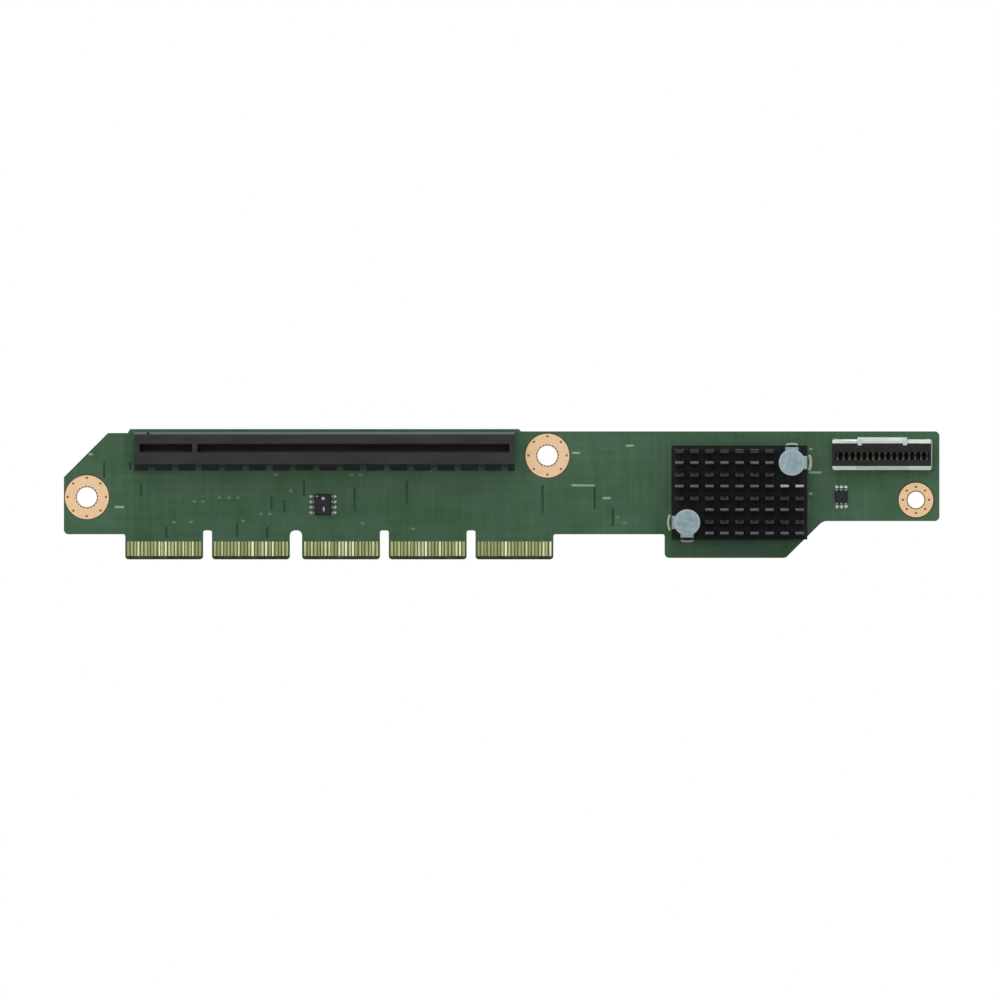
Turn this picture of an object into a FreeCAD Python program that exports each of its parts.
import FreeCAD, Part
import math
import os
from FreeCAD import Vector

# A riser card for a low server chassis: a long narrow circuit board that stands on its card edge,
# with one long card slot, a signal repeater chip under a finned heat sink, and a cable connector.
#
# Everything is drawn with the card lying on its back: x runs along the card, y runs up the card from
# the lower rim of the card edge, and z is the height over the component face (z = 0), so the board
# fills z = -board_thickness to 0. stand_up() then turns each piece upright: x stays, y becomes +Z,
# and the component face looks towards -Y. The origin is the middle of the card edge's lower rim.
# All sizes are in millimetres.

# ---- board outline ----
board_thickness = 1.57
segment_count = 5
segment_width = 18.3            # one group of edge contacts
notch_widths = [2.05, 2.85, 2.05, 2.05]
notch_corner_radii = [0.5, 1.2, 0.5, 0.5]
notch_height = 6.8              # top of the notches between the groups
finger_corner_radius = 0.8
shoulder_height = 5.9           # lower rim of the board beside the card edge
left_shoulder = 14.4            # board's left end to the card edge
connector_gap = 26.1            # open step between the card edge and the heat-sink tab
tab_length = 28.4               # straight lower rim of the heat-sink tab
tab_lift = 0.35                 # the tab's rim over the card edge's rim
tab_slope_run = 8.75            # sloping rim from the tab up to the right arm
right_arm = 27.35
slope_corner_radius = 2.5       # where the sloping rim meets the right arm
arm_height = 9.0                # lower rim of the right arm
board_height = 30.06
slot_tab_rise = 0.54            # the rim is a little higher behind the slot
slot_tab_margin = 1.0
slot_tab_slant = 0.5
left_end_drop = 0.39
left_chamfer = 10.35
outer_corner_radius = 1.1
inner_corner_radius = 0.5

# ---- card-edge contacts ----
edge_bevel_height = 0.8
edge_bevel_depth = 0.3
contact_pitch = 0.8
contact_width = 0.52
contact_length = 3.4
contact_end_margin = 0.3
copper_thickness = 0.05

# ---- mounting holes ----
large_hole_diameter = 4.7
large_pad_diameter = 10.3
small_hole_diameter = 3.9
small_pad_diameter = 8.1
left_hole_inset = 5.4           # from the board's left end
left_hole_height = 14.6
middle_hole_offset = 7.7        # from the slot's right end
middle_hole_drop = 5.7          # below the board's upper rim
right_hole_inset = 5.5          # from the board's right end
right_hole_height = 13.95

# ---- card slot ----
slot_length = 89.3
slot_width = 7.6
slot_height = 11.25
slot_left_inset = 16.5          # from the board's left end
slot_drop = 3.92                # slot's middle line below the board's upper rim
card_gap = 1.8                  # room for the card that plugs in
card_gap_depth = 8.65
card_gap_end_wall = 1.25
lead_in = 0.15
key_width = 1.2
key_offset = 12.95              # key's middle from the gap's left end
slot_contact_pitch = 1.0
slot_contact_width = 0.42
slot_contact_thickness = 0.2
slot_contact_end_margin = 1.1   # first contact's middle from the end of its part of the gap
slot_foot_inset = 0.15          # end of a contact's foot inside the slot's side
slot_heel_inset = 0.3
slot_contact_lean = 0.15        # the blade's tip stands this far into the gap
slot_contact_drop = 3.2         # the tip under the slot's face
slot_channel_width = 0.6
slot_channel_depth = 1.45
slot_channel_cover = 1.1        # the channels start this far below the slot's face
slot_edge_bevel = 0.6
slot_bevel_notch = 0.7
slot_bevel_notch_inset = 2.9
tail_gap = 1.0                  # the side walls stand this far off the board for the tails
slot_end_block = 2.6
slot_foot_pitch = 5.53
slot_foot_width = 3.8
slot_first_foot = 1.3           # first foot's middle, from the slot's left end
slot_foot_reach = 1.5
slot_foot_height = 2.8
slot_peg_diameter = 2.3
peg_clearance = 0.1
peg_reach = 0.6                 # pegs show this far behind the board

# ---- signal repeater chip and heat sink ----
sink_length = 31.85
sink_width = 22.1
sink_base_thickness = 2.0
sink_fin_height = 6.4
sink_left_inset = 1.65          # from the heat-sink tab's left rim
sink_lift = 4.3                 # lower side of the sink over the tab's rim
fin_columns = 9
fin_rows = 8
fin_column_pitch = 3.53
fin_row_pitch = 2.76
fin_width = 2.35
fin_thickness = 1.05
fin_taper = 0.1
corner_columns = 2              # fins left out round each push pin
corner_rows = 3
chip_length = 22.8
chip_width = 8.9
chip_substrate_thickness = 1.3
die_length = 17.0
die_width = 6.2
die_thickness = 0.8
thermal_pad_thickness = 0.5

# ---- push pins and springs ----
pin_offset_x = 12.3             # from the heat sink's middle
pin_offset_y = 7.03
pin_shank_diameter = 2.9
pin_hole_clearance = 0.1
pin_head_diameter = 5.95
pin_head_thickness = 1.3
pin_lug_width = 3.1
pin_lug_reach = 3.6
pin_recess_diameter = 2.4
pin_recess_depth = 0.35
pin_barb_diameter = 3.9
pin_barb_length = 2.9
pin_tip_diameter = 1.6
pin_split_width = 0.7
spring_wire = 0.5
spring_diameter = 4.6           # middle of the wire
spring_turns = 4
spring_steps = 12               # straight steps in each turn
spring_length = 4.7
spring_seat = 0.02

# ---- cable connector ----
cable_length = 22.9
cable_width = 5.3
cable_height = 6.6
cable_right_inset = 1.95        # plastic body to the board's right end
cable_drop = 5.5                # body's middle line below the board's upper rim
cable_gap_length = 21.9
cable_gap = 1.7
cable_gap_depth = 4.8
cable_gap_shift = -0.3          # the gap lies a little below the body's middle line
cable_contact_count = 16
cable_contact_pitch = 1.4
cable_contact_width = 0.45
cable_contact_thickness = 0.15
cable_contact_lean = 0.45       # the tips stand this far into the gap
cable_contact_drop = 0.35       # the tips under the mouth
cable_groove_width = 0.6
cable_groove_depth = 0.7
cable_lip = 0.6                 # the plastic covers the shell's left wall this far down
shell_sheet = 0.3
shell_flange = 0.65
latch_bridge_length = 11.6
latch_bridge_rise = 0.5
latch_tab_width = 1.0
latch_tab_reach = 0.45
shell_foot_length = 1.6
shell_foot_reach = 0.9

# ---- small chips ----
eight_lead_x = -3.85
eight_lead_y = 12.9
eight_lead_body = (3.9, 4.9, 1.45)
eight_lead_span = 6.3
eight_lead_pitch = 1.27
eight_lead_lead_width = 0.42
six_lead_right_inset = 23.05    # from the board's right end
six_lead_y = 14.7
six_lead_body = (2.9, 2.7, 1.2)
six_lead_span = 5.2
six_lead_pitch = 1.05
six_lead_lead_width = 0.55
chip_standoff = 0.12
chip_side_slope = 0.16
lead_thickness = 0.18

# ---- capacitors behind the chip ----
capacitor_length = 1.6
capacitor_width = 0.8
capacitor_height = 0.8
capacitor_end = 0.35
capacitor_end_lap = 0.04
capacitor_columns = 6
capacitor_rows = 2
capacitor_column_pitch = 3.2
capacitor_row_pitch = 3.4

# ---- places worked out from the sizes above ----
card_edge_length = segment_count * segment_width + sum(notch_widths)
edge_left = -card_edge_length / 2
edge_right = card_edge_length / 2
board_left = edge_left - left_shoulder
tab_left = edge_right + connector_gap
tab_right = tab_left + tab_length
arm_left = tab_right + tab_slope_run
board_right = arm_left + right_arm
board_back = -board_thickness

slot_left = board_left + slot_left_inset
slot_right = slot_left + slot_length
slot_y = board_height - slot_drop
gap_left = slot_left + card_gap_end_wall
gap_right = slot_right - card_gap_end_wall
key_left = gap_left + key_offset - key_width / 2
key_right = key_left + key_width
gap_floor = slot_height - card_gap_depth

sink_x = tab_left + sink_left_inset + sink_length / 2
sink_y = tab_lift + sink_lift + sink_width / 2
sink_bottom = chip_substrate_thickness + die_thickness + thermal_pad_thickness
sink_base_top = sink_bottom + sink_base_thickness
upper_pin = (sink_x + pin_offset_x, sink_y + pin_offset_y)
lower_pin = (sink_x - pin_offset_x, sink_y - pin_offset_y)
pin_hole_diameter = pin_shank_diameter + 2 * pin_hole_clearance

left_hole = (board_left + left_hole_inset, left_hole_height)
middle_hole = (slot_right + middle_hole_offset, board_height - middle_hole_drop)
right_hole = (board_right - right_hole_inset, right_hole_height)
slot_pegs = [(key_left + key_width / 2, slot_y), (slot_right - slot_end_block / 2, slot_y)]
peg_hole_diameter = slot_peg_diameter + 2 * peg_clearance

cable_x = board_right - cable_right_inset - cable_length / 2
cable_y = board_height - cable_drop
cable_gap_y = cable_y + cable_gap_shift
six_lead_x = board_right - six_lead_right_inset


# ---- helpers ----
def box(x0, x1, y0, y1, z0, z1):
    """A block between two corners."""
    return Part.makeBox(x1 - x0, y1 - y0, z1 - z0, Vector(x0, y0, z0))


def disc(place, diameter, z0, z1):
    """An upright cylinder at place between two heights."""
    return Part.makeCylinder(diameter / 2, z1 - z0, Vector(place[0], place[1], z0))


def prism(points, direction):
    """A closed flat outline of corner points pushed along a direction."""
    wire = Part.makePolygon(points + [points[0]])
    return Part.Face(wire).extrude(direction)


def rounded_prism(corners, z0, z1):
    """An outline of (x, y, radius) corners, each rounded by a tangent arc, made z0 to z1 thick."""
    count = len(corners)
    pieces_of_corner = []
    for i, (x, y, radius) in enumerate(corners):
        corner = Vector(x, y, z0)
        if radius == 0:
            pieces_of_corner.append((corner, None, corner))
            continue
        before = Vector(corners[i - 1][0], corners[i - 1][1], z0) - corner
        after = Vector(corners[(i + 1) % count][0], corners[(i + 1) % count][1], z0) - corner
        before.normalize()
        after.normalize()
        half_angle = before.getAngle(after) / 2
        inward = before + after
        inward.normalize()
        start = corner + before * (radius / math.tan(half_angle))
        middle = corner + inward * (radius / math.sin(half_angle) - radius)
        end = corner + after * (radius / math.tan(half_angle))
        pieces_of_corner.append((start, middle, end))
    outline = []
    for i, (start, middle, end) in enumerate(pieces_of_corner):
        if middle is not None:
            outline.append(Part.Arc(start, middle, end).toShape())
        following = pieces_of_corner[(i + 1) % count][0]
        if end.distanceToPoint(following) > 1e-6:
            outline.append(Part.LineSegment(end, following).toShape())
    return Part.Face(Part.Wire(outline)).extrude(Vector(0, 0, z1 - z0))


def bent_strip(path, thickness, width, turn, place):
    """A stamped strip: a (reach, height) path given a thickness, made width wide.

    turn is the angle of the reach direction about z, and place is the strip's (x, y) start.
    """
    points = [Vector(reach, 0, height) for reach, height in path]
    left = []
    right = []
    for i, point in enumerate(points):
        into = point - points[i - 1] if i > 0 else points[1] - point
        out = points[i + 1] - point if i < len(points) - 1 else into
        into.normalize()
        out = Vector(out)
        out.normalize()
        across = Vector(-into.z - out.z, 0, into.x + out.x)
        across.normalize()
        half = thickness / 2 / math.cos(into.getAngle(out) / 2)
        left.append(point + across * half)
        right.append(point - across * half)
    strip = prism(left + right[::-1], Vector(0, width, 0))
    strip.translate(Vector(0, -width / 2, 0))
    strip.rotate(Vector(0, 0, 0), Vector(0, 0, 1), turn)
    strip.translate(Vector(place[0], place[1], 0))
    return strip


def tapered_block(place, base, top, z0, z1):
    """A block of flat faces whose rectangle changes from base (length, width) at z0 to top at z1."""
    loops = []
    for (length, width), z in ((base, z0), (top, z1)):
        x0 = place[0] - length / 2
        y0 = place[1] - width / 2
        corners = [(x0, y0), (x0 + length, y0), (x0 + length, y0 + width), (x0, y0 + width)]
        loops.append([Vector(x, y, z) for x, y in corners])
    low, high = loops
    outlines = [low, high]
    for i in range(4):
        j = (i + 1) % 4
        outlines.append([low[i], low[j], high[j], high[i]])
    faces = [Part.Face(Part.makePolygon(outline + [outline[0]])) for outline in outlines]
    return Part.makeSolid(Part.makeShell(faces))


def spread(count, pitch, middle=0.0):
    """count places a pitch apart, with their middle at middle."""
    return [middle + (i - (count - 1) / 2) * pitch for i in range(count)]


# ---- board ----
def board():
    slot_tab_left = slot_left - slot_tab_margin
    slot_tab_right = slot_right + slot_tab_margin
    slot_tab_top = board_height + slot_tab_rise
    left_top = board_height - left_end_drop
    corners = [(board_left, shoulder_height, outer_corner_radius),
               (edge_left, shoulder_height, inner_corner_radius)]
    x = edge_left
    for i in range(segment_count):
        corners.append((x, 0, finger_corner_radius))
        x += segment_width
        corners.append((x, 0, finger_corner_radius))
        if i < segment_count - 1:
            corners.append((x, notch_height, notch_corner_radii[i]))
            x += notch_widths[i]
            corners.append((x, notch_height, notch_corner_radii[i]))
    corners += [
        (edge_right, shoulder_height, inner_corner_radius),
        (tab_left, shoulder_height, inner_corner_radius),
        (tab_left, tab_lift, outer_corner_radius),
        (tab_right, tab_lift, outer_corner_radius),
        (arm_left, arm_height, slope_corner_radius),
        (board_right, arm_height, outer_corner_radius),
        (board_right, board_height, outer_corner_radius),
        (slot_tab_right + slot_tab_slant, board_height, 0),
        (slot_tab_right, slot_tab_top, 0),
        (slot_tab_left, slot_tab_top, 0),
        (slot_tab_left - slot_tab_slant, left_top, 0),
        (board_left + left_chamfer, left_top, 0),
        (board_left, left_top - left_chamfer, 0),
    ]
    shape = rounded_prism(corners, board_back, 0)
    through = (board_back, 0)
    holes = [disc(place, large_hole_diameter, *through) for place in (left_hole, middle_hole)]
    holes.append(disc(right_hole, small_hole_diameter, *through))
    holes += [disc(place, pin_hole_diameter, *through) for place in (upper_pin, lower_pin)]
    holes += [disc(place, peg_hole_diameter, *through) for place in slot_pegs]
    bevels = []
    for face, inward in ((0, -1), (board_back, 1)):
        bevels.append(prism([Vector(edge_left, 0, face + inward * edge_bevel_depth),
                             Vector(edge_left, edge_bevel_height, face),
                             Vector(edge_left, 0, face)], Vector(card_edge_length, 0, 0)))
    return shape.cut(Part.makeCompound(holes + bevels))


def hole_rings(place, hole, pad):
    """Bare copper rings round a mounting hole, one on each face of the board."""
    rings = []
    for z0 in (0, board_back - copper_thickness):
        z1 = z0 + copper_thickness
        rings.append(disc(place, pad, z0, z1).cut(disc(place, hole, z0, z1)))
    return Part.makeCompound(rings)


def edge_contacts(z0):
    """The flat gilded contacts on one face of the card edge."""
    room = segment_width - contact_width - 2 * contact_end_margin
    count = int(room / contact_pitch) + 1
    contacts = []
    x = edge_left
    for i in range(segment_count):
        for middle in spread(count, contact_pitch, x + segment_width / 2):
            contacts.append(box(middle - contact_width / 2, middle + contact_width / 2,
                                edge_bevel_height, edge_bevel_height + contact_length,
                                z0, z0 + copper_thickness))
        if i < segment_count - 1:
            x += segment_width + notch_widths[i]
    return Part.makeCompound(contacts)


# ---- card slot ----
def slot_contact_places():
    """x of every contact, in the short part of the gap and in the long part behind the key."""
    places = []
    for left, right in ((gap_left, key_left), (key_right, gap_right)):
        room = right - left - 2 * slot_contact_end_margin
        count = int(room / slot_contact_pitch) + 1
        places += spread(count, slot_contact_pitch, (left + right) / 2)
    return places


def slot_housing():
    """Moulded body with the card gap, its key, a channel for each contact, feet and pegs."""
    low = slot_y - slot_width / 2
    high = slot_y + slot_width / 2
    body = box(slot_left, slot_right, low, high, tail_gap, slot_height)
    bevel = prism([Vector(slot_left, high, slot_height - slot_edge_bevel),
                   Vector(slot_left, high - slot_edge_bevel, slot_height),
                   Vector(slot_left, high, slot_height)], Vector(slot_length, 0, 0))
    notch_x = slot_left + slot_bevel_notch_inset
    notch = box(notch_x, notch_x + slot_bevel_notch, high - slot_edge_bevel, high,
                tail_gap, slot_height)
    gaps = []
    for left, right in ((gap_left, key_left), (key_right, gap_right)):
        gaps.append(box(left, right, slot_y - card_gap / 2, slot_y + card_gap / 2,
                        gap_floor, slot_height))
        middle = ((left + right) / 2, slot_y)
        gaps.append(tapered_block(middle, (right - left, card_gap),
                                  (right - left, card_gap + 2 * lead_in),
                                  slot_height - 2 * lead_in, slot_height))
    body = body.cut([bevel, notch] + gaps)

    channels = []
    for x in slot_contact_places():
        for side in (-1, 1):
            inner = slot_y + side * card_gap / 2
            outer = slot_y + side * (card_gap / 2 + slot_channel_depth)
            channels.append(box(x - slot_channel_width / 2, x + slot_channel_width / 2,
                                min(inner, outer), max(inner, outer),
                                tail_gap, slot_height - slot_channel_cover))
    body = body.cut(Part.makeCompound(channels))

    ends = [box(slot_left, slot_left + card_gap_end_wall, low, high, 0, tail_gap),
            box(slot_right - slot_end_block / 2, slot_right, low, high, 0, tail_gap)]
    feet = []
    foot_count = int((slot_length - slot_first_foot + slot_foot_width / 2) / slot_foot_pitch) + 1
    for i in range(foot_count):
        middle = slot_left + slot_first_foot + i * slot_foot_pitch
        left = max(middle - slot_foot_width / 2, slot_left)
        right = min(middle + slot_foot_width / 2, slot_right)
        outline = [Vector(left, low, 0),
                   Vector(left, low - slot_foot_reach, 0),
                   Vector(left, low - slot_foot_reach, tail_gap),
                   Vector(left, low, slot_foot_height)]
        feet.append(prism(outline, Vector(right - left, 0, 0)))
    pegs = [disc(place, slot_peg_diameter, board_back - peg_reach, tail_gap)
            for place in slot_pegs]
    return body.fuse(ends + feet + pegs).removeSplitter()


def slot_contacts(side):
    """Spring contacts of one side: a foot on the board, and a blade that leans into the gap."""
    foot_z = slot_contact_thickness / 2
    wall = card_gap / 2
    path = [(slot_width / 2 - slot_foot_inset, foot_z),
            (wall + slot_channel_depth - slot_heel_inset, foot_z),
            (wall - slot_contact_lean, slot_height - slot_contact_drop)]
    turn = 90 * side
    strips = [bent_strip(path, slot_contact_thickness, slot_contact_width, turn, (x, slot_y))
              for x in slot_contact_places()]
    return Part.makeCompound(strips)


# ---- signal repeater chip and heat sink ----
def chip_substrate():
    return box(sink_x - chip_length / 2, sink_x + chip_length / 2,
               sink_y - chip_width / 2, sink_y + chip_width / 2, 0, chip_substrate_thickness)


def chip_die():
    top = chip_substrate_thickness + die_thickness
    return box(sink_x - die_length / 2, sink_x + die_length / 2,
               sink_y - die_width / 2, sink_y + die_width / 2, chip_substrate_thickness, top)


def thermal_pad():
    bottom = chip_substrate_thickness + die_thickness
    return box(sink_x - die_length / 2, sink_x + die_length / 2,
               sink_y - die_width / 2, sink_y + die_width / 2,
               bottom, bottom + thermal_pad_thickness)


def heat_sink():
    """Base plate with rows of flat fins, and a bare corner with a hole for each push pin."""
    base = box(sink_x - sink_length / 2, sink_x + sink_length / 2,
               sink_y - sink_width / 2, sink_y + sink_width / 2, sink_bottom, sink_base_top)
    holes = [disc(place, pin_hole_diameter, sink_bottom, sink_base_top)
             for place in (upper_pin, lower_pin)]
    base = base.cut(Part.makeCompound(holes))
    tip = sink_base_top + sink_fin_height
    foot = (fin_width, fin_thickness)
    crest = (fin_width - 2 * fin_taper, fin_thickness - 2 * fin_taper)
    fins = []
    for column, x in enumerate(spread(fin_columns, fin_column_pitch, sink_x)):
        for row, y in enumerate(spread(fin_rows, fin_row_pitch, sink_y)):
            upper_corner = column >= fin_columns - corner_columns and row >= fin_rows - corner_rows
            lower_corner = column < corner_columns and row < corner_rows
            if upper_corner or lower_corner:
                continue
            fins.append(tapered_block((x, y), foot, crest, sink_base_top, tip))
    return base.fuse(fins).removeSplitter()


# ---- push pins and springs ----
def push_pin(place, turn):
    """Moulded pin: a head with two lugs, a shank through sink and board, and a split barbed tip."""
    head_under = sink_base_top + spring_length
    head_top = head_under + pin_head_thickness
    behind = board_back - spring_seat
    tip = behind - pin_barb_length
    r = pin_shank_diameter / 2
    outline = [(0, head_top), (pin_head_diameter / 2, head_top), (pin_head_diameter / 2, head_under),
               (r, head_under), (r, behind), (pin_barb_diameter / 2, behind),
               (pin_tip_diameter / 2, tip), (0, tip)]
    points = [Vector(radius, 0, z) for radius, z in outline]
    profile = Part.Face(Part.makePolygon(points + [points[0]]))
    pin = profile.revolve(Vector(0, 0, 0), Vector(0, 0, 1), 360)
    half = pin_lug_width / 2
    lugs = [box(0, pin_lug_reach, -half, half, head_under, head_top),
            box(-half, half, 0, pin_lug_reach, head_under, head_top)]
    pin = pin.fuse(lugs)
    recess = disc((0, 0), pin_recess_diameter, head_top - pin_recess_depth, head_top)
    split = box(-pin_split_width / 2, pin_split_width / 2, -pin_barb_diameter, pin_barb_diameter,
                tip, board_back + board_thickness / 2)
    pin = pin.cut([recess, split]).removeSplitter()
    pin.rotate(Vector(0, 0, 0), Vector(0, 0, 1), turn)
    pin.translate(Vector(place[0], place[1], 0))
    return pin


def pin_spring(place):
    """Coil spring between the heat sink's base and a pin's head: six-sided wire along a helix."""
    radius = spring_diameter / 2
    half_wire = spring_wire / 2
    bottom = sink_base_top + half_wire + spring_seat
    rise = spring_length - spring_wire - 2 * spring_seat
    steps = spring_turns * spring_steps
    path = []
    for i in range(steps + 1):
        angle = math.radians(360 / spring_steps * i)
        path.append(Vector(place[0] + radius * math.cos(angle), place[1] + radius * math.sin(angle),
                           bottom + rise * i / steps))
    along = path[1] - path[0]
    along.normalize()
    outward = Vector(1, 0, 0)
    across = along.cross(outward)
    section = []
    for i in range(6):
        angle = math.radians(60 * i)
        section.append(path[0] + outward * (half_wire * math.cos(angle))
                       + across * (half_wire * math.sin(angle)))
    section_wire = Part.makePolygon(section + [section[0]])
    mitred_corners = 1
    return Part.makePolygon(path).makePipeShell([section_wire], True, False, mitred_corners)


# ---- cable connector ----
def cable_contact_places():
    return spread(cable_contact_count, cable_contact_pitch, cable_x)


def cable_housing():
    """Plastic body with a narrow mating gap and a groove for each contact in both gap walls.

    A lip at its left end lies on the shell's wall there.
    """
    half_length = cable_length / 2
    half_width = cable_width / 2
    body = box(cable_x - half_length, cable_x + half_length,
               cable_y - half_width, cable_y + half_width, 0, cable_height)
    lip = box(cable_x - half_length - shell_sheet, cable_x - half_length,
              cable_y - half_width, cable_y + half_width, cable_height - cable_lip, cable_height)
    floor = cable_height - cable_gap_depth
    half_gap = cable_gap / 2
    gap = box(cable_x - cable_gap_length / 2, cable_x + cable_gap_length / 2,
              cable_gap_y - half_gap, cable_gap_y + half_gap, floor, cable_height)
    grooves = []
    for x in cable_contact_places():
        for side in (-1, 1):
            inner = cable_gap_y + side * half_gap
            outer = cable_gap_y + side * (half_gap + cable_groove_depth)
            grooves.append(box(x - cable_groove_width / 2, x + cable_groove_width / 2,
                               min(inner, outer), max(inner, outer), 0, cable_height))
    return body.fuse(lip).cut(gap).cut(Part.makeCompound(grooves)).removeSplitter()


def cable_contacts(side):
    """Contacts of one row: straight blades from the board that lean into the gap."""
    wall = cable_gap / 2
    path = [(wall + cable_groove_depth - cable_contact_thickness, cable_contact_thickness / 4),
            (wall - cable_contact_lean, cable_height - cable_contact_drop)]
    strips = [bent_strip(path, cable_contact_thickness, cable_contact_width, 90 * side,
                         (x, cable_gap_y)) for x in cable_contact_places()]
    return Part.makeCompound(strips)


def cable_shell():
    """Sheet-metal shell round the plastic body, with rims at its mouth, a latch bridge and feet.

    Its left wall is lower, because the plastic's lip lies on it.
    """
    x0 = cable_x - cable_length / 2
    x1 = cable_x + cable_length / 2
    y0 = cable_y - cable_width / 2
    y1 = cable_y + cable_width / 2
    t = shell_sheet
    outer = box(x0 - t, x1 + t, y0 - t, y1 + t, 0, cable_height)
    lip_room = box(x0 - t, x0, y0, y1, cable_height - cable_lip, cable_height)
    shell = outer.cut([box(x0, x1, y0, y1, 0, cable_height), lip_room])
    rim_low = cable_height - t
    rims = [box(x0 - t, x1 + t, y0 - t - shell_flange, y0 - t, rim_low, cable_height),
            box(x0 - t, x1 + t, y1 + t, y1 + t + shell_flange, rim_low, cable_height)]
    bridge = latch_bridge_length / 2
    bridge_y = y1 + t + shell_flange
    rims.append(box(cable_x - bridge, cable_x + bridge, bridge_y - t,
                    bridge_y + latch_bridge_rise, rim_low - t, cable_height))
    for x in (cable_x - bridge, cable_x + bridge - latch_tab_width):
        rims.append(box(x, x + latch_tab_width, y1 - latch_tab_reach,
                        bridge_y, cable_height, cable_height + t))
    for x in (x0 - t, x1 + t - shell_foot_length):
        for inner, reach in ((y0 - t, -shell_foot_reach), (y1 + t, shell_foot_reach)):
            rims.append(box(x, x + shell_foot_length, min(inner, inner + reach),
                            max(inner, inner + reach), 0, t))
    return shell.fuse(rims).removeSplitter()


# ---- small chips ----
def chip_body(place, size):
    """Moulded chip body: its sides slope away above and below the plane of the leads."""
    length, width, height = size
    waist = chip_standoff + (height - chip_standoff) / 2
    ends = (length - 2 * chip_side_slope, width - 2 * chip_side_slope)
    lower = tapered_block(place, ends, (length, width), chip_standoff, waist)
    upper = tapered_block(place, (length, width), ends, waist, height)
    return lower.fuse(upper).removeSplitter()


def gull_wing_leads(places, body_half, span, body_height, width, turns):
    """Bent leads from the body's waist down to the board, at the given places and turns."""
    waist = chip_standoff + (body_height - chip_standoff) / 2
    foot = lead_thickness / 2
    out = span / 2
    knee = body_half + (out - body_half) * 0.35
    heel = body_half + (out - body_half) * 0.5
    path = [(body_half, waist), (knee, waist), (heel, foot), (out, foot)]
    leads = []
    for place in places:
        for turn in turns:
            leads.append(bent_strip(path, lead_thickness, width, turn, place))
    return Part.makeCompound(leads)


def eight_lead_leads():
    places = [(eight_lead_x, y) for y in spread(4, eight_lead_pitch, eight_lead_y)]
    length, width, height = eight_lead_body
    return gull_wing_leads(places, length / 2, eight_lead_span, height,
                           eight_lead_lead_width, (0, 180))


def six_lead_leads():
    places = [(x, six_lead_y) for x in spread(3, six_lead_pitch, six_lead_x)]
    length, width, height = six_lead_body
    return gull_wing_leads(places, width / 2, six_lead_span, height,
                           six_lead_lead_width, (90, -90))


# ---- capacitors behind the chip ----
def capacitor_places():
    return [(x, y) for x in spread(capacitor_columns, capacitor_column_pitch, sink_x)
            for y in spread(capacitor_rows, capacitor_row_pitch, sink_y)]


def capacitor_bodies():
    bodies = []
    half = capacitor_length / 2 - capacitor_end
    for x, y in capacitor_places():
        bodies.append(box(x - half, x + half, y - capacitor_width / 2, y + capacitor_width / 2,
                          board_back - capacitor_height, board_back))
    return Part.makeCompound(bodies)


def capacitor_ends():
    ends = []
    half = capacitor_length / 2
    reach = capacitor_width / 2 + capacitor_end_lap
    for x, y in capacitor_places():
        for x0 in (x - half, x + half - capacitor_end):
            ends.append(box(x0, x0 + capacitor_end, y - reach, y + reach,
                            board_back - capacitor_height - capacitor_end_lap, board_back))
    return Part.makeCompound(ends)


# ---- writing the pieces ----
def stand_up(shape):
    """Turns a piece from lying on its back to standing, with the board's middle plane at Y = 0."""
    upright = shape.copy()
    upright.rotate(Vector(0, 0, 0), Vector(1, 0, 0), 90)
    upright.translate(Vector(0, -board_thickness / 2, 0))
    return upright


pieces = {
    "board": board(),
    "left_hole_rings": hole_rings(left_hole, large_hole_diameter, large_pad_diameter),
    "middle_hole_rings": hole_rings(middle_hole, large_hole_diameter, large_pad_diameter),
    "right_hole_rings": hole_rings(right_hole, small_hole_diameter, small_pad_diameter),
    "edge_contacts_front": edge_contacts(0),
    "edge_contacts_back": edge_contacts(board_back - copper_thickness),
    "slot_housing": slot_housing(),
    "slot_contacts_upper": slot_contacts(1),
    "slot_contacts_lower": slot_contacts(-1),
    "repeater_substrate": chip_substrate(),
    "repeater_die": chip_die(),
    "thermal_pad": thermal_pad(),
    "heat_sink": heat_sink(),
    "upper_push_pin": push_pin(upper_pin, 0),
    "lower_push_pin": push_pin(lower_pin, 180),
    "upper_pin_spring": pin_spring(upper_pin),
    "lower_pin_spring": pin_spring(lower_pin),
    "cable_housing": cable_housing(),
    "cable_shell": cable_shell(),
    "cable_contacts_upper": cable_contacts(1),
    "cable_contacts_lower": cable_contacts(-1),
    "eight_lead_chip": chip_body((eight_lead_x, eight_lead_y), eight_lead_body),
    "eight_lead_chip_leads": eight_lead_leads(),
    "six_lead_chip": chip_body((six_lead_x, six_lead_y), six_lead_body),
    "six_lead_chip_leads": six_lead_leads(),
    "capacitor_bodies": capacitor_bodies(),
    "capacitor_ends": capacitor_ends(),
}

os.makedirs("parts", exist_ok=True)
for name, shape in pieces.items():
    stand_up(shape).exportStep("parts/" + name + ".step")
    print(name, len(shape.Solids), "solids", "valid" if shape.isValid() else "NOT VALID")
